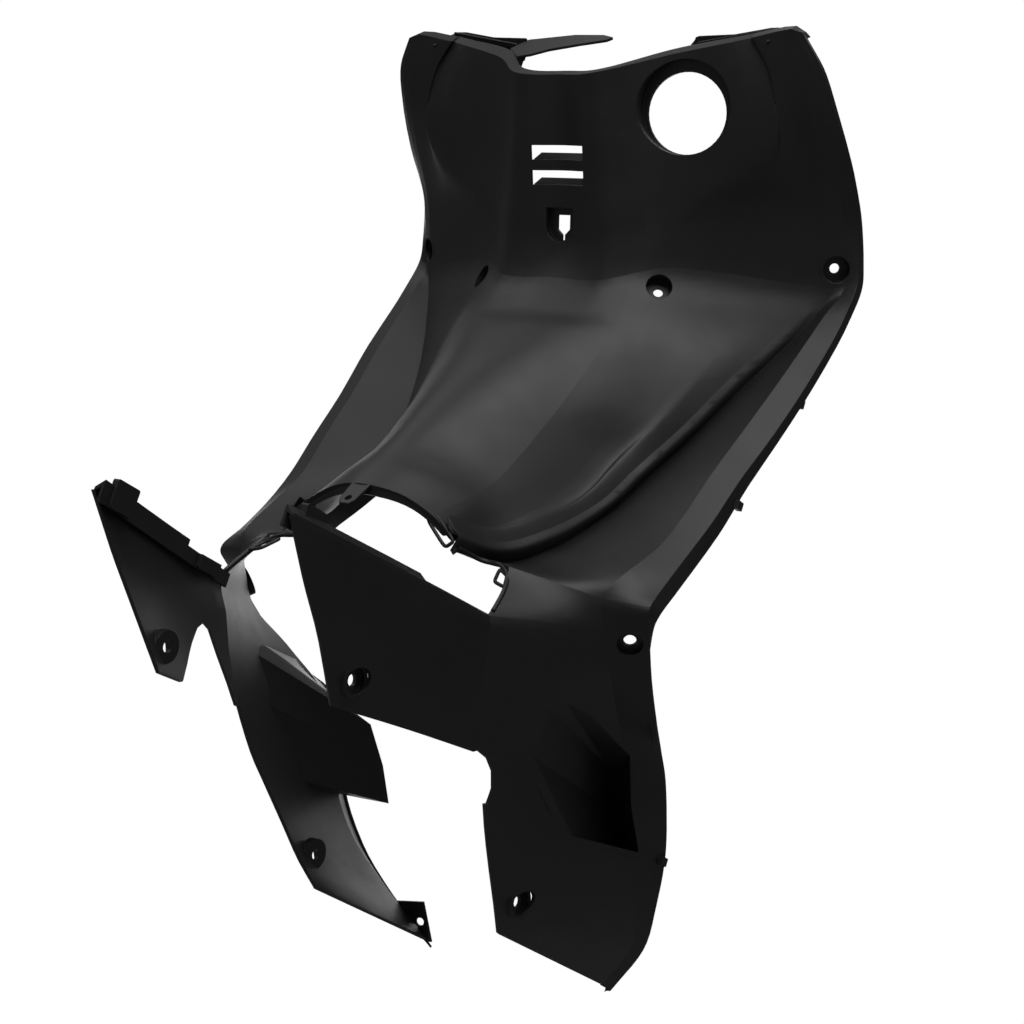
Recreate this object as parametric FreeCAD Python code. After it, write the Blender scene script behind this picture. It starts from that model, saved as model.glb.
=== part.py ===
import FreeCAD, Part
import os

Vector = FreeCAD.Vector

# Overall sizes, millimetres
half_width = 203.0
shield_rise = 480.0
skirt_drop = 187.0
front_reach = 328.0
rear_reach = 178.0
wall = 2.6

# Sizes the control points below are drawn for; the overall sizes stretch them
drawn_half_width = 203.0
drawn_rise = 480.0
drawn_drop = 187.0
drawn_front = 328.0
drawn_rear = 178.0

# Screw recesses
screw_recess_r = 9.6
screw_hole_r = 3.6
screw_recess_depth = 9.0
shoulder_recess_r = 8.8
shoulder_hole_r = 4.4
shoulder_recess_depth = 5.0
skirt_recess_r = 9.0
skirt_hole_r = 4.0
skirt_recess_depth = 4.5

# Gauge hole in the right wing
gauge_hole_r = 29.8
gauge_recess_r = 34.6
gauge_recess_depth = 6.0
gauge_recess_rise = 4.2

# Louvre slots
louvre_length = 47.0
louvre_height = 10.5
louvre_pitch = 18.5
louvre_blade = 11.0

# Luggage hook seat
hook_width = 24.0
hook_height = 25.0
hook_depth = 4.0
hook_key_width = 11.5
hook_key_height = 14.5
hook_key_slot = 3.0

# Floor joint
rail_width = 8.0
rail_rise = 5.6
rail_drop = 9.0
clip_length = 22.0
clip_height = 11.0

# Tunnel mouth
ledge_width = 6.0
tab_width = 17.0
tab_length = 28.0
tab_hole_r = 2.6

# Pocket walls and small brackets
joint_wall = 2.0
bracket_hole_r = 3.2


def place(x, y, z):
    """Drawn point, measured from the floor rails' front end, stretched to size and moved so that
    the origin is the bottom centre of the whole moulding."""
    forward = y * front_reach / drawn_front if y > 0 else y * rear_reach / drawn_rear
    up = z * shield_rise / drawn_rise if z > 0 else z * skirt_drop / drawn_drop
    return Vector(x * half_width / drawn_half_width,
                  forward - (front_reach - rear_reach) / 2,
                  up + skirt_drop)


# Columns of the skin from the centre line outwards, each a run of points from the top brow down.
# Row 1 is the rim, rows 1 to 16 the shield and its tunnel, 16 to 25 the skirt under the floor.
centre = [(0, 52, 432), (0, 45, 425), (0, 54, 410), (0, 64, 393), (0, 74, 376), (0, 85, 357),
          (0, 96, 336), (0, 105, 314), (0, 107, 290), (0, 98, 265), (0, 79, 238), (0, 51, 196),
          (0, 27, 158), (0, 3, 118), (0, -7, 101), (0, -17, 86), (0, -26, 71)]
ridge = [(38, 47, 432), (38, 39, 424), (38, 48, 409), (38, 58, 391), (39, 68, 374), (40, 80, 355),
         (42, 91, 335), (43, 102, 314), (42, 108, 290), (40, 102, 266), (38, 86, 240), (35, 62, 197),
         (33, 41, 158), (32, 20, 118), (32, 7, 101), (32, -6, 86), (32, -17, 69)]
flank = [(74, 70, 460), (74, 61, 449), (76, 72, 430), (77, 83, 410), (77, 93, 389), (75, 101, 369),
         (71, 108, 348), (66, 114, 326), (63, 119, 302), (66, 115, 276), (69, 104, 244), (66, 86, 197),
         (62, 70, 158), (60, 48, 117), (59, 33, 98), (58, 13, 80), (55, -10, 60)]
fold = [(122, 77, 474), (122, 71, 466), (130, 80, 445), (137, 91, 421), (134, 103, 398),
        (120, 111, 378), (103, 116, 360), (89, 122, 338), (81, 129, 312), (92, 134, 285),
        (105, 134, 245), (97, 118, 196), (88, 104, 157), (84, 82, 116), (80, 55, 88), (72, 28, 66),
        (68, -4, 51)]
crease = [(158, 75, 480), (158, 69, 473), (174, 79, 455), (180, 96, 433), (183, 124, 408),
          (183, 143, 391), (183, 160, 374), (184, 177, 350), (186, 190, 330), (176, 189, 303),
          (147, 174, 242), (127, 158, 194), (113, 139, 154), (103, 116, 115), (96, 75, 73),
          (84, 40, 48), (75, -1, 42)]
skirt_rear = [(118, 0, 0), (116, 12, -25), (112, 28, -55), (108, 48, -82), (105, 72, -106),
              (100, 92, -124), (95, 115, -143), (90, 142, -165), (84, 166, -182)]
band = [(168, 74, 480), (168, 68, 474), (182, 79, 458), (188, 98, 436), (191, 129, 410),
        (192, 149, 394), (192, 165, 378), (193, 183, 353), (193, 194, 334), (189, 185, 307),
        (184, 160, 246), (178, 140, 196), (174, 122, 155), (171, 106, 115), (171, 87, 86),
        (166, 62, 55), (161, 57, 38), (162, 69, 20), (161, 88, 1), (149, 127, -17), (138, 172, -40),
        (134, 200, -72), (138, 221, -100), (132, 248, -128), (118, 285, -154), (84, 316, -185)]
edge = [(176, 76, 476), (177, 70, 472), (189, 84, 455), (195, 107, 434), (199, 139, 409),
        (199, 157, 396), (199, 173, 382), (201, 189, 355), (202, 195, 338), (203, 189, 308),
        (202, 167, 247), (197, 148, 196), (193, 130, 156), (190, 114, 116), (188.5, 98, 86),
        (189, 82, 60), (191, 69, 40), (188, 82, 26), (180, 111, 5), (168, 153, -17), (153, 194, -29),
        (150, 216, -46), (151, 240, -90), (139, 268, -127), (122, 296, -154), (86, 326, -187)]
flap_mid = [(103, -88, -2), (100, -70, -32), (97, -45, -60), (93, -15, -87)]
flap_rear = [(85, -178, -3), (83, -146, -32), (81, -112, -60), (76, -75, -93)]

rim_row = 1
waist_row = 8
arch_row = 16
rail_row = 17
flap_row = 20

# Rounded lip along the foot of the tunnel's sides: distance from the crease, and rise at each row
lip_width = 4.0
shelf_width = 13.0
lip_rise = [0, 0, 0, 0, 0, 0, 0, 0, 0, 1, 3, 5, 6, 6.5, 7, 7, 5]

# Depth of the folded-back margin at each row of the outer edge
return_depth = [6, 7, 7, 7, 7, 7, 7, 7, 7, 6.5, 7, 8, 10, 12, 13, 13, 12, 9, 6, 5, 5, 5, 5, 5, 5, 4]


def return_step(row):
    """Step the folded-back margin takes away from the skin's outer edge."""
    share = min(1.0, max(0.0, (row - arch_row) / 3.0))
    turned = Vector(0.15 - 1.1 * share, 0.97 - 0.8 * share, -0.1).normalize()
    return turned * return_depth[row]


def lip_point(row, width):
    """Point beside the crease, raised off the tunnel's side so that the side rolls under there."""
    here = columns["crease"][row]
    inward = (columns["fold"][row] - here).normalize()
    down = columns["crease"][row + 1] - columns["crease"][row - 1] if row else Vector(0, 0, -1)
    out = down.cross(inward).normalize()
    return here + inward * width - out * lip_rise[row]


columns = {name: [place(*p) for p in points] for name, points in (
    ("centre", centre), ("ridge", ridge), ("flank", flank), ("fold", fold),
    ("crease", crease + skirt_rear), ("band", band), ("edge", edge))}
for name, width in (("shelf", shelf_width), ("lip", lip_width)):
    columns[name] = [lip_point(row, width) for row in range(arch_row + 1)]
columns["return"] = [p + return_step(row) for row, p in enumerate(columns["edge"])]
columns["flap_mid"] = [place(*p) for p in flap_mid]
columns["flap_rear"] = [place(*p) for p in flap_rear]
first_row = {name: rail_row if name.startswith("flap") else 0 for name in columns}
order = ["centre", "ridge", "flank", "fold", "shelf", "lip", "crease", "band", "edge", "return"]
tunnel_columns = order[:order.index("crease") + 1]


def kinks(name):
    """Rows where a column turns sharply."""
    if name.startswith("flap"):
        return ()
    return (rim_row, arch_row) if name == "crease" else (rim_row,)


def point(name, row):
    run = columns[name]
    i = row - first_row[name]
    return run[i] if 0 <= i < len(run) else None


def neighbours(name, row):
    """The points beside this one on its row, inner side first."""
    if name == "flap_rear":
        return None, point("flap_mid", row)
    if name == "flap_mid":
        return point("flap_rear", row), point("crease", row)
    i = order.index(name)
    outer = point(order[i + 1], row) if i + 1 < len(order) else None
    if name == "centre":
        return Vector(-outer.x, outer.y, outer.z), outer
    if name == "crease" and rail_row <= row <= flap_row:
        return point("flap_mid", row), outer
    return point(order[i - 1], row), outer


def skin_offset(name, row):
    """Step from the outer skin to the inner skin, mitred where panels meet."""
    here = point(name, row)
    above = point(name, row - 1) or here
    below = point(name, row + 1) or here
    downs = [here - above, below - here] if row == rim_row else [below - above]
    inner, outer = neighbours(name, row)
    normals = []
    for down in downs:
        for start, end in ((inner, here), (here, outer)):
            if start is not None and end is not None and (end - start).Length > 0.5:
                normals.append(down.cross(end - start).normalize())
    mean = Vector()
    for n in normals:
        mean += n
    mean.normalize()
    return mean * (-wall / max(0.6, mean.dot(normals[0])))


inner_columns = {name: [p + skin_offset(name, first_row[name] + i) for i, p in enumerate(run)]
                 for name, run in columns.items()}

steps = []
for row in range(len(columns["edge"]) - 1):
    lengths = [(point(n, row + 1) - point(n, row)).Length
               for n in ("centre", "crease", "edge") if point(n, row + 1) is not None]
    steps.append(sum(lengths) / len(lengths))


def spline_run(points, spans, corners=()):
    """Bezier control points of a smooth run through the points; corners keep their kink."""
    slopes = []
    last = len(points) - 1
    sides = [(points[i + 1] - points[i]) * (1.0 / spans[i]) for i in range(last)]
    for i in range(last + 1):
        if i == 0 or i == last or i in corners:
            slopes.append((sides[max(i - 1, 0)], sides[min(i, last - 1)]))
        else:
            mixed = (sides[i - 1] * spans[i] + sides[i] * spans[i - 1]) * (1.0 / (spans[i - 1] + spans[i]))
            slopes.append((mixed, mixed))
    run = [points[0]]
    for i in range(last):
        run.append(points[i] + slopes[i][1] * (spans[i] / 3.0))
        run.append(points[i + 1] - slopes[i + 1][0] * (spans[i] / 3.0))
        run.append(points[i + 1])
    return run


def full_runs(skin):
    runs = {}
    for name, points in skin.items():
        spans = steps[first_row[name]:]
        runs[name] = spline_run(points, spans, kinks(name))
    return runs


outer_runs = full_runs(columns)
inner_runs = full_runs(inner_columns)


def stretch(runs, name, top, bottom):
    start = first_row[name]
    return runs[name][3 * (top - start):3 * (bottom - start) + 1]


def mirrored(run):
    return [Vector(-p.x, p.y, p.z) for p in run]


def thin(run):
    """Drops the joints between spans, which the smooth knots imply."""
    return [p for i, p in enumerate(run) if i % 3 or i in (0, len(run) - 1)]


def knots(spans):
    out = [0.0]
    for s in spans:
        out.append(out[-1] + s)
    return out


def mults(count):
    return [4] + [2] * (count - 2) + [4]


def skin_face(net, across, down):
    """Smooth face from a net of control runs; across is None for a panel straight across."""
    surface = Part.BSplineSurface()
    down_knots = knots(down)
    if across is None:
        poles = [thin(run) for run in net]
        surface.buildFromPolesMultsKnots(poles, [2, 2], mults(len(down_knots)),
                                         [0.0, 1.0], down_knots, False, False, 1, 3)
        return surface.toShape()
    across_knots = knots(across)
    rows = [thin(line) for line in net]
    poles = [thin([row[i] for row in rows]) for i in range(len(rows[0]))]
    surface.buildFromPolesMultsKnots(poles, mults(len(across_knots)), mults(len(down_knots)),
                                     across_knots, down_knots, False, False, 3, 3)
    return surface.toShape()


def panel_border(net, across, down):
    """The four border runs of a panel as full control runs with their spans."""
    if across is None:
        ends = [([net[0][k], net[1][k]], None) for k in (0, -1)]
        return [(net[0], down), (net[-1], down)] + ends
    sides = [([line[k] for line in net], down) for k in (0, -1)]
    return sides + [(net[0], across), (net[-1], across)]


panels = []


def add_strip(inner, outer, top, bottom, mirror):
    """Panel straight across between two columns."""
    nets = []
    for runs in (outer_runs, inner_runs):
        net = [stretch(runs, name, top, bottom) for name in (inner, outer)]
        nets.append([mirrored(run) for run in net] if mirror else net)
    panels.append((nets[0], nets[1], None, steps[top:bottom]))


def add_curved(names, top, bottom, across, groups, mirror=False, both_sides=False):
    """Panels curved both ways through several columns, parted at the columns that groups gives."""
    grids = []
    for runs in (outer_runs, inner_runs):
        net = [stretch(runs, name, top, bottom) for name in names]
        if both_sides:
            net = [mirrored(run) for run in reversed(net[1:])] + net
        elif mirror:
            net = [mirrored(run) for run in net]
        grids.append([spline_run([run[k] for run in net], across) for k in range(len(net[0]))])
    for first, last in zip(groups, groups[1:]):
        parts = [[line[3 * first:3 * last + 1] for line in grid] for grid in grids]
        panels.append((parts[0], parts[1], across[first:last], steps[top:bottom]))


half_across = [(point(b, waist_row + 1) - point(a, waist_row + 1)).Length
               for a, b in zip(tunnel_columns, tunnel_columns[1:])]
tunnel_across = list(reversed(half_across)) + half_across
tunnel_groups = (0, 2, 3, 4, 8, 9, 10, 12)
flap_across = [(point("flap_mid", rail_row) - point("flap_rear", rail_row)).Length,
               (point("crease", rail_row) - point("flap_mid", rail_row)).Length]

for top, bottom in ((0, rim_row), (rim_row, waist_row), (waist_row, arch_row)):
    add_curved(tunnel_columns, top, bottom, tunnel_across, tunnel_groups, both_sides=True)
rows_of_strips = [0, rim_row, waist_row, arch_row, rail_row, flap_row, len(steps)]
for mirror in (False, True):
    for inner, outer in (("crease", "band"), ("band", "edge"), ("edge", "return")):
        for top, bottom in zip(rows_of_strips, rows_of_strips[1:]):
            add_strip(inner, outer, top, bottom, mirror)
    add_curved(("flap_rear", "flap_mid", "crease"), rail_row, flap_row, flap_across, (0, 2), mirror)


def border_key(run):
    middle = run[len(run) // 2] if len(run) > 2 else (run[0] + run[1]) * 0.5
    ends = sorted((round(p.x, 2), round(p.y, 2), round(p.z, 2)) for p in (run[0], run[-1]))
    return tuple(ends) + ((round((run[0] + run[-1]).Length, 1)),)


def build_skin():
    faces = []
    borders = {}
    for outer_net, inner_net, across, down in panels:
        faces.append(skin_face(outer_net, across, down))
        faces.append(skin_face(inner_net, across, down))
        for (o, spans), (i, _) in zip(panel_border(outer_net, across, down),
                                      panel_border(inner_net, across, down)):
            borders.setdefault(border_key(o), []).append((o, i, spans))
    for found in borders.values():
        if len(found) == 1:
            outer_run, inner_run, spans = found[0]
            if spans is None:
                corners = [outer_run[0], outer_run[1], inner_run[1], inner_run[0]]
                wall_surface = Part.BSplineSurface()
                wall_surface.buildFromPolesMultsKnots(
                    [[corners[0], corners[1]], [corners[3], corners[2]]],
                    [2, 2], [2, 2], [0.0, 1.0], [0.0, 1.0], False, False, 1, 1)
                faces.append(wall_surface.toShape())
            else:
                faces.append(skin_face([outer_run, inner_run], None, spans))
    quilt = Part.makeCompound(faces)
    quilt.sewShape()
    solid = Part.makeSolid(quilt.Shells[0])
    if solid.Volume < 0:
        solid.reverse()
    return solid


def frame_at(spot, out):
    """Placement with z along the given direction, y running up and x level."""
    across = Vector(0, 0, 1).cross(out).normalize()
    up = out.cross(across).normalize()
    return FreeCAD.Placement(FreeCAD.Matrix(across.x, up.x, out.x, spot.x,
                                            across.y, up.y, out.y, spot.y,
                                            across.z, up.z, out.z, spot.z,
                                            0, 0, 0, 1))


def surface_frame(x, y, z, out=None):
    """Placement on the outer skin nearest the drawn point; it leaves along the skin's normal or `out`."""
    vertex = Part.Vertex(place(x, y, z))
    near = min(outer_faces, key=lambda face: face.distToShape(vertex)[0])
    spot = near.distToShape(vertex)[1][0][0]
    if out is None:
        u, v = near.Surface.parameter(spot)
        out = near.normalAt(u, v)
        if out.dot(Vector(0.6 if x > 0 else -0.6, -1, 0)) < 0:
            out = out * -1
    return frame_at(spot, out)


def on_frame(shape, frame):
    moved = shape.copy()
    moved.Placement = frame.multiply(moved.Placement)
    return moved


def mirror_x(shape):
    return shape.mirror(Vector(0, 0, 0), Vector(1, 0, 0))


def both(shape):
    return [shape, mirror_x(shape)]


def cylinder(radius, low, high, x=0.0, y=0.0):
    return Part.makeCylinder(radius, high - low, Vector(x, y, low), Vector(0, 0, 1))


def block(x_size, y_size, low, high, x=0.0, y=0.0):
    return Part.makeBox(x_size, y_size, high - low, Vector(x - x_size / 2, y - y_size / 2, low))


def polygon_face(corners):
    return Part.Face(Part.makePolygon(corners + corners[:1]))


def prism(outline, low, high):
    """Solid from an outline in the local plane, between two heights."""
    return polygon_face([Vector(x, y, low) for x, y in outline]).extrude(Vector(0, 0, high - low))


def drawn_prism(corners, step):
    """Solid swept from a flat face through drawn points."""
    return polygon_face([place(*p) for p in corners]).extrude(step)


def loft(rings):
    """Straight-sided solid through matching rings of points."""
    return Part.makeLoft([Part.makePolygon(ring + ring[:1]) for ring in rings], True, True)


def screw_cup(frame, recess_r, hole_r, depth):
    """Boss behind the skin, and the stepped bore through it."""
    boss = on_frame(cylinder(recess_r + wall, -depth - wall, -wall * 0.4), frame)
    bore = on_frame(cylinder(recess_r, -depth, 2 * wall), frame)
    hole = on_frame(cylinder(hole_r, -depth - 2 * wall, wall), frame)
    return boss, bore.fuse(hole)


shield = build_skin()
outer_faces = [skin_face(outer_net, across, down) for outer_net, inner_net, across, down in panels]
added = []
removed = []

# Screw recesses, in mirrored pairs: inner, outer, shoulder, flap and low skirt
level = Vector(1, 0, 0)
screw_spots = [
    ((81, 129, 297), None, screw_recess_r, screw_hole_r, screw_recess_depth),
    ((188, 185, 343), None, screw_recess_r, screw_hole_r, screw_recess_depth),
    ((171, 87, 21), None, shoulder_recess_r, shoulder_hole_r, shoulder_recess_depth),
    ((95, -72, -77), level, skirt_recess_r, skirt_hole_r, skirt_recess_depth),
    ((100, 163, -159), level, skirt_recess_r, skirt_hole_r, skirt_recess_depth),
]
for spot, out, recess_r, hole_r, depth in screw_spots:
    boss, bore = screw_cup(surface_frame(*spot, out), recess_r, hole_r, depth)
    added += both(boss)
    removed += both(bore)

# Gauge hole in the right wing with its recessed seat
gauge = surface_frame(88, 88, 417)
gauge_seat = cylinder(gauge_recess_r + wall, -gauge_recess_depth - wall, -wall * 0.4, 0, gauge_recess_rise)
gauge_recess = cylinder(gauge_recess_r, -gauge_recess_depth, 4 * wall, 0, gauge_recess_rise)
added.append(on_frame(gauge_seat, gauge))
removed.append(on_frame(gauge_recess, gauge))
removed.append(on_frame(cylinder(gauge_hole_r, -gauge_recess_depth - 8 * wall, 4 * wall), gauge))

# Louvre slots in the column panel, each with a tilted blade rising behind its lower lip
louvre = surface_frame(0, 74, 376)
blades = []
for row in range(2):
    middle = -row * louvre_pitch
    slot = block(louvre_length, louvre_height, -6 * wall, 4 * wall, 0, middle)
    removed.append(on_frame(slot, louvre))
    blade = Part.makeBox(louvre_length + 2 * wall, wall * 0.7, louvre_blade,
                         Vector(-louvre_length / 2 - wall, -wall * 0.7, -louvre_blade))
    blade.rotate(Vector(0, 0, 0), Vector(1, 0, 0), 24)
    blade.translate(Vector(0, middle - louvre_height / 2, -wall * 0.6))
    blades.append(on_frame(blade, louvre))

# Luggage hook seat, a round-bottomed recess with a keyed hole
hook = surface_frame(0, 99, 329)


def hook_outline(margin, low, high):
    half = hook_width / 2 + margin
    centre_y = hook_width / 2 - hook_height / 2
    top = hook_height / 2 + margin
    head = block(2 * half, top - centre_y, low, high, 0, (top + centre_y) / 2)
    return cylinder(half, low, high, 0, centre_y).fuse(head)


added.append(on_frame(hook_outline(wall, -hook_depth - wall, -wall * 0.4), hook))
removed.append(on_frame(hook_outline(0, -hook_depth, 3 * wall), hook))
key_half = hook_key_width / 2
key_top = hook_key_height / 2
slot_half = hook_key_slot / 2
key = [(-key_half, key_top), (key_half, key_top), (key_half, 4 - key_top), (slot_half, -key_top),
       (slot_half, -key_top - 4), (-slot_half, -key_top - 4), (-slot_half, -key_top),
       (-key_half, 4 - key_top)]
removed.append(on_frame(prism(key, -hook_depth - 3 * wall, 3 * wall), hook))

# Rounded bite out of the floor panel beside the tunnel mouth
bite = [(75, -60), (75, -2), (79, 17), (86, 22), (98, 23), (107, 20), (113, 13), (117, 2), (119, -60)]
bite_low = 1.2
bite_high = 44.0
bite_step = place(0, 0, bite_high) - place(0, 0, bite_low)
removed += both(drawn_prism([(x, y, bite_low) for x, y in bite], bite_step))

# Notch behind the left skirt
left_notch = [(-90, -140), (-50, -100), (-38, -87), (-32, -74), (-27, -58), (-22, -46), (-15, -40),
              (-5, -42), (12, -56), (30, -70), (48, -86), (62, -100), (74, -112), (80, -140)]
removed.append(drawn_prism([(-40, y, z) for y, z in left_notch], Vector(-110, 0, 0)))

# Rounded corner between flap and skirt
corner_cut = [(46, -80), (58, -82), (68, -88), (76, -98), (79, -108), (70, -113), (50, -104), (30, -92)]
removed.append(drawn_prism([(60, y, z) for y, z in corner_cut], Vector(90, 0, 0)))

# Raised joint rail along the top of each flap, with two clip blocks
rail_run = [(85, -176), (94, -132), (103, -88), (111, -44), (118, 0)]
sections = []
for x, y in rail_run:
    top = place(x, y, 0)
    sections.append([top + Vector(dx, 0, dz) for dx, dz in (
        (-0.4, -wall), (-0.4, 0), (-rail_width, rail_rise), (-rail_width, -rail_drop),
        (-rail_width + joint_wall, -rail_drop), (-rail_width + joint_wall, rail_rise - 2 * wall))])
rail = loft(sections)
added += both(rail)
for x, y in ((90, -153), (113, -32)):
    foot = place(x, y, 0)
    clip = Part.makeBox(5, clip_length, clip_height + rail_drop,
                        foot + Vector(-rail_width - 4, -clip_length / 2, -rail_drop))
    added += both(clip.makeFillet(1.5, clip.Edges[8:12]))

# Hanging tab with its hole at the tunnel crown
tab_top = place(0, -24, 78)
tab_frame = frame_at(tab_top, Vector(0, -0.85, 0.52).normalize())
tab = prism([(-tab_width / 2, 0), (tab_width / 2, 0), (tab_width * 0.38, 4 - tab_length), (4, -tab_length),
             (-4, -tab_length), (-tab_width * 0.38, 4 - tab_length)], -wall - joint_wall, -wall)
tab = tab.cut(cylinder(tab_hole_r, -10, 10, 0, 6 - tab_length))
added.append(on_frame(tab, tab_frame))

# Ledge inside the tunnel mouth
mouth = [point(name, arch_row) for name in ("fold", "flank", "ridge", "centre")]
mouth += [Vector(-p.x, p.y, p.z) for p in reversed(mouth[:-1])]
mouth_centre = place(0, -12, 30)
ledge_outer = [p + Vector(0, wall * 0.7, 0) + (p - mouth_centre).normalize() * 1.0 for p in mouth]
ledge_inner = [p + Vector(0, wall * 0.7, 0) - (p - mouth_centre).normalize() * ledge_width for p in mouth]
rim_curves = []
for run in (ledge_outer, ledge_inner):
    curve = Part.BSplineCurve()
    curve.interpolate(run)
    rim_curves.append(curve.toShape())
added.append(Part.makeRuledSurface(rim_curves[0], rim_curves[1]).extrude(Vector(0, joint_wall, 0)))

# Pocket pressed into each skirt: stations from its top down, each with the deep front corner,
# the rear corner on the skin and the front corner at the shoulder strip
pocket_deep = [(132.3, 104, -32), (113, 200, -47), (109, 225, -72), (108, 245, -94)]
pocket_rear = [(134.5, 88, -29), (129, 70, -36), (117, 85, -68), (120, 160, -105)]
pocket_front = [(139, 125, -25), (138, 172, -37), (134, 200, -70), (138, 220, -98)]
pocket_over = 9.0
cut_sections = []
lump_sections = []
for i, (deep, rear, front) in enumerate(zip(pocket_deep, pocket_rear, pocket_front)):
    cut_sections.append([place(*deep), place(rear[0] + 2, rear[1], rear[2]),
                         place(front[0] + pocket_over, front[1] - 2, front[2])])
    extra = {0: wall, 3: -wall}.get(i, 0)
    lump_sections.append([place(deep[0] - wall, deep[1] + 1.5 * wall, deep[2] + extra),
                          place(rear[0] - wall / 2, rear[1] - 2 * wall, rear[2] + extra),
                          place(front[0] + wall, front[1] + 3 * wall, front[2] + extra)])
added += both(loft(lump_sections))
removed += both(loft(cut_sections))

# Joint wall behind each wing's rim, with its middle rib
wing_wall = [(74, 88, 462), (74, 88, 474), (78, 88, 481), (109, 88, 482), (138, 88, 487),
             (150, 88, 487), (150, 88, 466), (120, 88, 462)]
added += both(drawn_prism(wing_wall, Vector(0, joint_wall, 0)))
for x, rise in ((75, 0), (149, 13)):
    end_wall = [(x, 70, 452 + rise), (x, 90, 456 + rise), (x, 90, 474 + rise), (x, 75, 460 + rise)]
    added += both(drawn_prism(end_wall, Vector(joint_wall, 0, 0)))

# Arm over the steering column cut-out, from the left wing
arm = [(-78, 74), (-78, 92), (-43, 101), (-16, 100), (-3, 95), (-4, 90), (-22, 82), (-40, 72), (-48, 62),
       (-56, 58)]
arm_face = polygon_face([place(x, y, y + 390) for x, y in arm])
added.append(arm_face.extrude(Vector(0, 1, -1).normalize() * joint_wall))

# Lugs on the folded-back margins, and the bracket at each skirt's front tip
for x, y, z in ((198, 166, 231), (193, 132, 139), (149, 238, -97)):
    added += both(Part.makeBox(4, 7, 6, place(x, y, z) + Vector(-1.5, 0, -3)))
bracket = [place(111, 301, -162), place(87, 306, -157), place(80, 322, -184)]
bracket.append(bracket[2] + (bracket[0] - bracket[1]) * 0.2)
bracket_out = (bracket[1] - bracket[0]).cross(bracket[2] - bracket[0]).normalize()
bracket_plate = polygon_face(bracket).extrude(bracket_out * joint_wall)
bracket_hole_at = bracket[1] + (bracket[2] - bracket[1]) * 0.5 + (bracket[0] - bracket[1]) * 0.25
bracket_hole = Part.makeCylinder(bracket_hole_r, 20, bracket_hole_at - bracket_out * 10, bracket_out)
added += both(bracket_plate.cut(bracket_hole))

shield = shield.fuse(added)
shield = shield.cut(removed).fuse(blades)
shield = max(shield.Solids, key=lambda solid: solid.Volume)
box = shield.BoundBox
shield.translate(Vector(-box.Center.x, -box.Center.y, -box.ZMin))
os.makedirs("parts", exist_ok=True)
shield.exportStep("parts/leg_shield.step")
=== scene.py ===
import math

import bmesh
import bpy
from mathutils import Matrix, Vector


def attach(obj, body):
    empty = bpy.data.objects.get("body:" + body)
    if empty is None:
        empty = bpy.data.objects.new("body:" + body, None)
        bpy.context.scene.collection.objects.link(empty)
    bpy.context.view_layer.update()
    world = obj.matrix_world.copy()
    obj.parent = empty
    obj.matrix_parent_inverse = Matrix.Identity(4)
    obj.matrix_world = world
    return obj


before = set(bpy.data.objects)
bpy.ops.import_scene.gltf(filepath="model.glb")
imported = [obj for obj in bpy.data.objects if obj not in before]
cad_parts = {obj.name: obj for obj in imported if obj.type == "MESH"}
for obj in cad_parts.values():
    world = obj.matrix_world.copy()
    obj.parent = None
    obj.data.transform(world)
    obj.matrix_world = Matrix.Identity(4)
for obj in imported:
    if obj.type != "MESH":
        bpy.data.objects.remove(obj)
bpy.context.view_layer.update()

scene = bpy.context.scene
scene.view_settings.view_transform = "Standard"

# Floor: its height below the part, its size, and where its paleness rises to plain white; metres
floor_height = -0.16
floor_size = 8.0
white_start = 0.7
white_full = 2.6

# Plastic: texture scales, grain depth and edge rounding in metres, faint blue of its greys
grain_scale = 950.0
swirl_scale = 26.0
grain_depth = 0.0002
edge_radius = 0.0009
cool_tint = 1.03


def material(name):
    """Empty node material."""
    made = bpy.data.materials.new(name)
    made.use_nodes = True
    made.node_tree.nodes.clear()
    return made


def node(tree, kind, **inputs):
    """Node with some of its inputs set; an underscore in a name stands for a space."""
    made = tree.nodes.new(kind)
    for key, value in inputs.items():
        made.inputs[key.replace("_", " ")].default_value = value
    return made


def camera_switch(tree, others, camera):
    """Shader that gives camera rays one surface and all other rays another."""
    path = tree.nodes.new("ShaderNodeLightPath")
    mix = tree.nodes.new("ShaderNodeMixShader")
    tree.links.new(path.outputs["Is Camera Ray"], mix.inputs[0])
    tree.links.new(others, mix.inputs[1])
    tree.links.new(camera, mix.inputs[2])
    return mix.outputs["Shader"]


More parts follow.
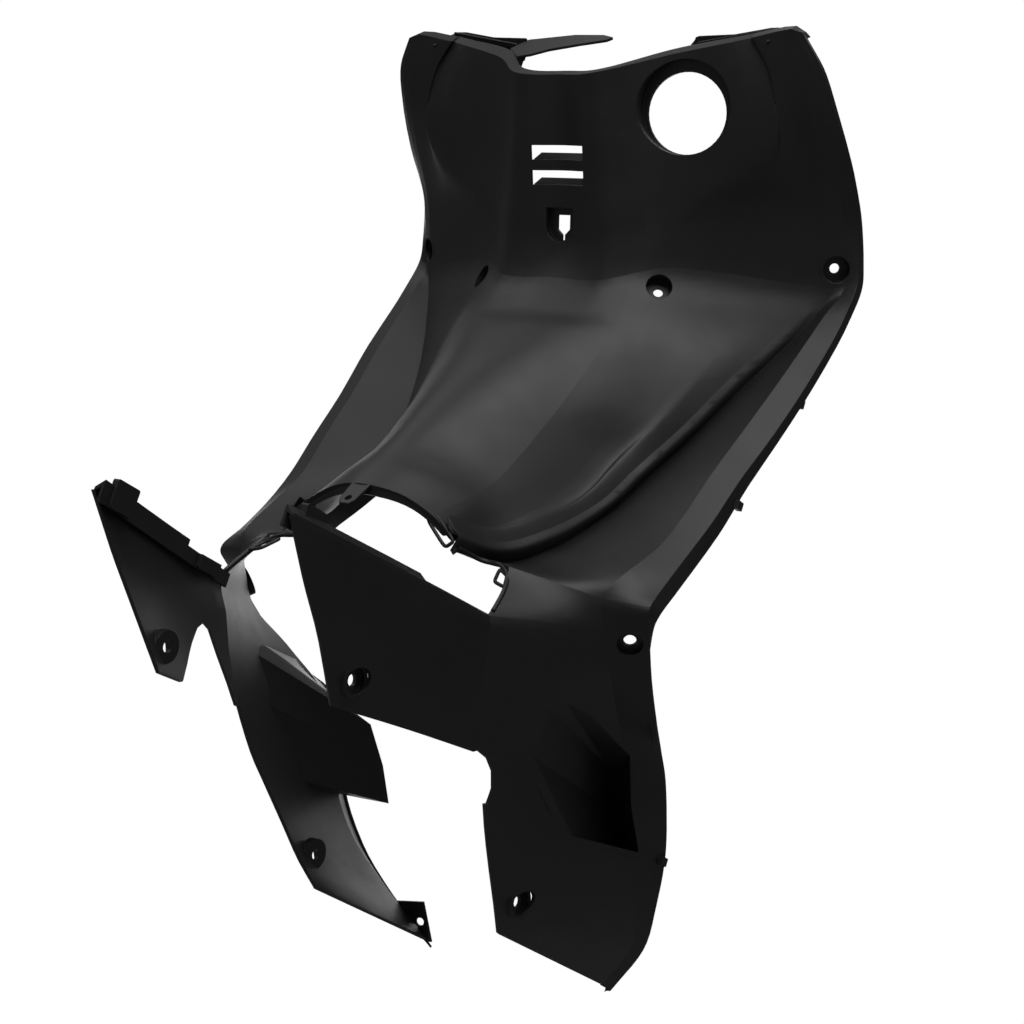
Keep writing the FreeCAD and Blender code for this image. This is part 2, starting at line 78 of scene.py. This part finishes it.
def moulded_plastic(name, greys, roughness, gloss=0.5):
    """Black moulded plastic with fine spark grain, faint flow mottling and softly rounded edges.

    greys and roughness are the low and high ends that the mottling moves between."""
    made = material(name)
    tree = made.node_tree
    link = tree.links.new
    output = tree.nodes.new("ShaderNodeOutputMaterial")
    shader = node(tree, "ShaderNodeBsdfPrincipled", IOR=1.49, Specular_IOR_Level=gloss)
    place = tree.nodes.new("ShaderNodeTexCoord")

    grain = node(tree, "ShaderNodeTexNoise", Scale=grain_scale, Detail=3.0, Roughness=0.6)
    pits = node(tree, "ShaderNodeTexVoronoi", Scale=grain_scale * 0.8)
    mottle = node(tree, "ShaderNodeTexNoise", Scale=swirl_scale, Detail=4.0, Roughness=0.55)
    for texture in (grain, pits, mottle):
        link(place.outputs["Object"], texture.inputs["Vector"])

    colour = tree.nodes.new("ShaderNodeValToRGB")
    for stop, position, grey in zip(colour.color_ramp.elements, (0.35, 0.75), greys):
        stop.position = position
        stop.color = (grey, grey, grey * cool_tint, 1)
    link(mottle.outputs["Fac"], colour.inputs["Fac"])
    link(colour.outputs["Color"], shader.inputs["Base Color"])

    rough = node(tree, "ShaderNodeMapRange", From_Min=0.3, From_Max=0.7,
                 To_Min=roughness[0], To_Max=roughness[1])
    link(mottle.outputs["Fac"], rough.inputs["Value"])

    edges = node(tree, "ShaderNodeBevel", Radius=edge_radius)
    edges.samples = 4
    bump = node(tree, "ShaderNodeBump", Strength=0.10, Distance=grain_depth)
    link(grain.outputs["Fac"], bump.inputs["Height"])
    link(edges.outputs["Normal"], bump.inputs["Normal"])
    pit_bump = node(tree, "ShaderNodeBump", Strength=0.05, Distance=grain_depth)
    link(pits.outputs["Distance"], pit_bump.inputs["Height"])
    link(bump.outputs["Normal"], pit_bump.inputs["Normal"])
    link(pit_bump.outputs["Normal"], shader.inputs["Normal"])

    link(rough.outputs["Result"], shader.inputs["Roughness"])
    link(shader.outputs["BSDF"], output.inputs["Surface"])
    return made


plastic = moulded_plastic("black_moulded_plastic", (0.0062, 0.0086), (0.47, 0.54))
# Near-black matte plastic for the plates that paint the shade inside the shelf slots
slot_shade_plastic = moulded_plastic("painted_slot_shade_plastic", (0.0010, 0.0016), (0.80, 0.92), gloss=0.12)
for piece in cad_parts.values():
    piece.data.materials.clear()
    piece.data.materials.append(plastic)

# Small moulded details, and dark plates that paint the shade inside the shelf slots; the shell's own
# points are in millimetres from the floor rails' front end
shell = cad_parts["leg_shield"]
drawn_origin = Vector((0.0, -74.35, 189.04))
lip_radius = 1.6
link_radius = 1.3

# Edge of the floor opening beside the tunnel mouth, right side, from the mouth outwards
opening_edge = [(77, 1, 43), (78, 11, 43), (82, 21, 43), (90, 24.5, 42), (99, 24, 39), (108, 20.5, 34),
                (113.5, 14, 26), (116.5, 8, 15), (118, 2, 4)]
# Clip links: one hugs the tunnel mouth, one hangs at the far end of the floor opening
clip_links = {
    "mouth": [(49, -6.5, 58), (56, -7, 61.5), (74, -3, 46), (69, -4, 40.5)],
    "floor": [(97, 24, 39), (107, 20.5, 34), (113, 13, 24), (103, 14, 27)],
}
link_stops = (0.12, 0.5, 0.88)

# Painted shade in the slot in the shelf on top of each wing: a dark plate, given as x and z of its
# outline, with y of its plane and its thickness; and the rib across the slot
slot_shade_outline = [(76, 470), (76.5, 480), (105, 481.2), (137, 485.8), (148, 485.8), (148, 478), (104, 470)]
slot_shade_plane = 87.6
slot_shade_thickness = 0.4
rib_ends = [(82, 85, 473.5), (114, 85, 479.0), (146, 85, 484.5)]
rib_radius = 0.9

# Wall of the gauge seat, from its recessed ring out to the curved skin around it; metres
gauge_spot = Vector((0.08892, 0.01053, 0.60448))
gauge_out = Vector((0.25588, -0.86505, -0.43152)).normalized()
seat_rise = 0.0042
seat_radii = (0.03475, 0.03640)
seat_foot = -0.0030
seat_steps = 120
skin_cover = 0.0012


def on_frame(x, y, z):
    """Drawn point in the row frame, in metres."""
    return (Vector((x, y, z)) + drawn_origin) / 1000.0


def add_piece(name, mesh, surface):
    """Object of the mesh that rides with the shell."""
    mesh.materials.clear()
    mesh.materials.append(surface)
    piece = bpy.data.objects.new(name, mesh)
    scene.collection.objects.link(piece)
    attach(piece, "root")


def mesh_of(name, shape):
    """Mesh of a bmesh, with its faces turned outwards."""
    bmesh.ops.recalc_face_normals(shape, faces=shape.faces)
    mesh = bpy.data.meshes.new(name)
    shape.to_mesh(mesh)
    shape.free()
    return mesh


def bead(name, points, radius, closed=False):
    """Round bead along the points; the radius is in millimetres."""
    data = bpy.data.curves.new(name, "CURVE")
    data.dimensions = "3D"
    data.bevel_depth = radius / 1000.0
    data.bevel_resolution = 3
    data.use_fill_caps = not closed
    spline = data.splines.new("NURBS")
    spline.points.add(len(points) - 1)
    for target, point in zip(spline.points, points):
        target.co = (*point, 1.0)
    spline.use_cyclic_u = closed
    spline.use_endpoint_u = not closed
    spline.order_u = 3
    spline.resolution_u = 6
    curve = bpy.data.objects.new(name + "_curve", data)
    scene.collection.objects.link(curve)
    mesh = bpy.data.meshes.new_from_object(curve.evaluated_get(bpy.context.evaluated_depsgraph_get()))
    bpy.data.objects.remove(curve)
    for face in mesh.polygons:
        face.use_smooth = True
    add_piece(name, mesh, plastic)


def edge_spot(point):
    """The nearest point of the shell."""
    return shell.closest_point_on_mesh(point)[1]


def rounded_ring(corners, sign):
    """Points of a closed link: each side's middle, and a stop near each of its ends."""
    spots = [on_frame(sign * x, y, z) for x, y, z in corners]
    return [start.lerp(end, share) for start, end in zip(spots, spots[1:] + spots[:1])
            for share in link_stops]


def painted_slot_shade_plate(name, sign):
    """Thin dark plate on the slot's far side: painted shade that stands in for the shadowed inside of the
    slot.
    """
    shape = bmesh.new()
    front, back = [[shape.verts.new(on_frame(sign * x, y, z)) for x, z in slot_shade_outline]
                   for y in (slot_shade_plane, slot_shade_plane + slot_shade_thickness)]
    shape.faces.new(front)
    shape.faces.new(list(reversed(back)))
    for i in range(len(front)):
        j = (i + 1) % len(front)
        shape.faces.new([front[i], back[i], back[j], front[j]])
    add_piece(name, mesh_of(name, shape), slot_shade_plastic)


def skin_height(spot):
    """Height of the shell's face over the seat's plane at a spot of that plane."""
    above = 0.012
    reach = 0.03
    hit, place, normal, index = shell.ray_cast(spot + gauge_out * above, -gauge_out, distance=reach)
    return (place - spot).dot(gauge_out) if hit else seat_foot


def seat_wall(name):
    """Short round wall whose top follows the skin just under its face."""
    across = Vector((0, 0, 1)).cross(gauge_out).normalized()
    up = gauge_out.cross(across)
    middle = gauge_spot + up * seat_rise
    inner, outer = seat_radii
    shape = bmesh.new()
    rings = []
    for step in range(seat_steps):
        turn = 2 * math.pi * step / seat_steps
        way = across * math.cos(turn) + up * math.sin(turn)
        top = max(skin_height(middle + way * outer) - skin_cover, seat_foot + 0.0005)
        corners = ((inner, seat_foot), (inner, top), (outer, top), (outer, seat_foot))
        rings.append([shape.verts.new(middle + way * radius + gauge_out * height)
                      for radius, height in corners])
    for here, there in zip(rings, rings[1:] + rings[:1]):
        for i in range(4):
            j = (i + 1) % 4
            shape.faces.new([here[i], here[j], there[j], there[i]])
    add_piece(name, mesh_of(name, shape), plastic)


for side, sign in (("right", 1), ("left", -1)):
    # Dark plate that paints the shade inside the shelf slot
    painted_slot_shade_plate("shelf_slot_painted_shade_" + side, sign)
    bead("shelf_rib_" + side, [on_frame(sign * x, y, z) for x, y, z in rib_ends], rib_radius)
    lip = [edge_spot(on_frame(sign * x, y, z)) for x, y, z in opening_edge]
    bead("opening_lip_" + side, lip, lip_radius)
    for name, corners in clip_links.items():
        bead(f"clip_link_{name}_{side}", rounded_ring(corners, sign), link_radius, closed=True)
seat_wall("gauge_seat_wall")

# Pale floor below the part: the camera sees it fade to white, other rays get a dimmer bounce
bpy.ops.mesh.primitive_plane_add(size=floor_size, location=(0, 0, floor_height))
floor = bpy.context.object
floor.name = "floor"
pale = material("pale_floor")
tree = pale.node_tree
link = tree.links.new
output = tree.nodes.new("ShaderNodeOutputMaterial")
seen = node(tree, "ShaderNodeBsdfDiffuse", Color=(0.86, 0.86, 0.86, 1))
lift = node(tree, "ShaderNodeEmission", Color=(1, 1, 1, 1))
spot = tree.nodes.new("ShaderNodeTexCoord")
reach = tree.nodes.new("ShaderNodeVectorMath")
reach.operation = "LENGTH"
fade = node(tree, "ShaderNodeMapRange", From_Min=white_start, From_Max=white_full, To_Min=0.25, To_Max=1.0)
link(spot.outputs["Object"], reach.inputs[0])
link(reach.outputs["Value"], fade.inputs["Value"])
link(fade.outputs["Result"], lift.inputs["Strength"])
bright = tree.nodes.new("ShaderNodeAddShader")
link(seen.outputs["BSDF"], bright.inputs[0])
link(lift.outputs["Emission"], bright.inputs[1])
bounce = node(tree, "ShaderNodeBsdfDiffuse", Color=(0.24, 0.24, 0.24, 1))
for_camera = camera_switch(tree, bounce.outputs["BSDF"], bright.outputs["Shader"])
link(for_camera, output.inputs["Surface"])
floor.data.materials.append(pale)

# World: the camera sees white, the part gets a dim even fill
world = bpy.data.worlds.new("studio")
scene.world = world
world.use_nodes = True
tree = world.node_tree
tree.nodes.clear()
output = tree.nodes.new("ShaderNodeOutputWorld")
white = node(tree, "ShaderNodeBackground", Color=(1, 1, 1, 1), Strength=1.0)
fill = node(tree, "ShaderNodeBackground", Color=(1, 1, 1, 1), Strength=0.09)
for_camera = camera_switch(tree, fill.outputs["Background"], white.outputs["Background"])
tree.links.new(for_camera, output.inputs["Surface"])


lamp_aim = Vector((0, 0, 0.35))


def softbox(name, place, width, height, power):
    """Soft rectangular studio lamp that faces the middle of the part."""
    data = bpy.data.lights.new(name, "AREA")
    data.shape = "RECTANGLE"
    data.size = width
    data.size_y = height
    data.energy = power
    lamp = bpy.data.objects.new(name, data)
    scene.collection.objects.link(lamp)
    lamp.location = place
    lamp.rotation_euler = (lamp_aim - Vector(place)).to_track_quat("-Z", "Y").to_euler()


softbox("key", (1.06, -1.70, 2.58), 2.4, 2.2, 66)
softbox("left", (-1.75, -1.05, 2.30), 2.0, 2.0, 17)
softbox("front", (-0.81, 1.75, 2.65), 1.8, 1.8, 12)
softbox("front_low", (-1.45, 2.05, 0.75), 2.2, 2.0, 34)

# Camera at the photograph's viewing angle
camera_place = Vector((1.0701, -1.3587, -0.1382))
camera_turn = Matrix(((0.8079, -0.0999, 0.5808), (0.5139, -0.3628, -0.7773), (0.2884, 0.9265, -0.2417)))
camera_data = bpy.data.cameras.new("camera")
camera_data.sensor_width = 36.0
camera_data.lens = 87.89
camera = bpy.data.objects.new("camera", camera_data)
scene.collection.objects.link(camera)
camera.matrix_world = Matrix.Translation(camera_place) @ camera_turn.to_4x4()
scene.camera = camera
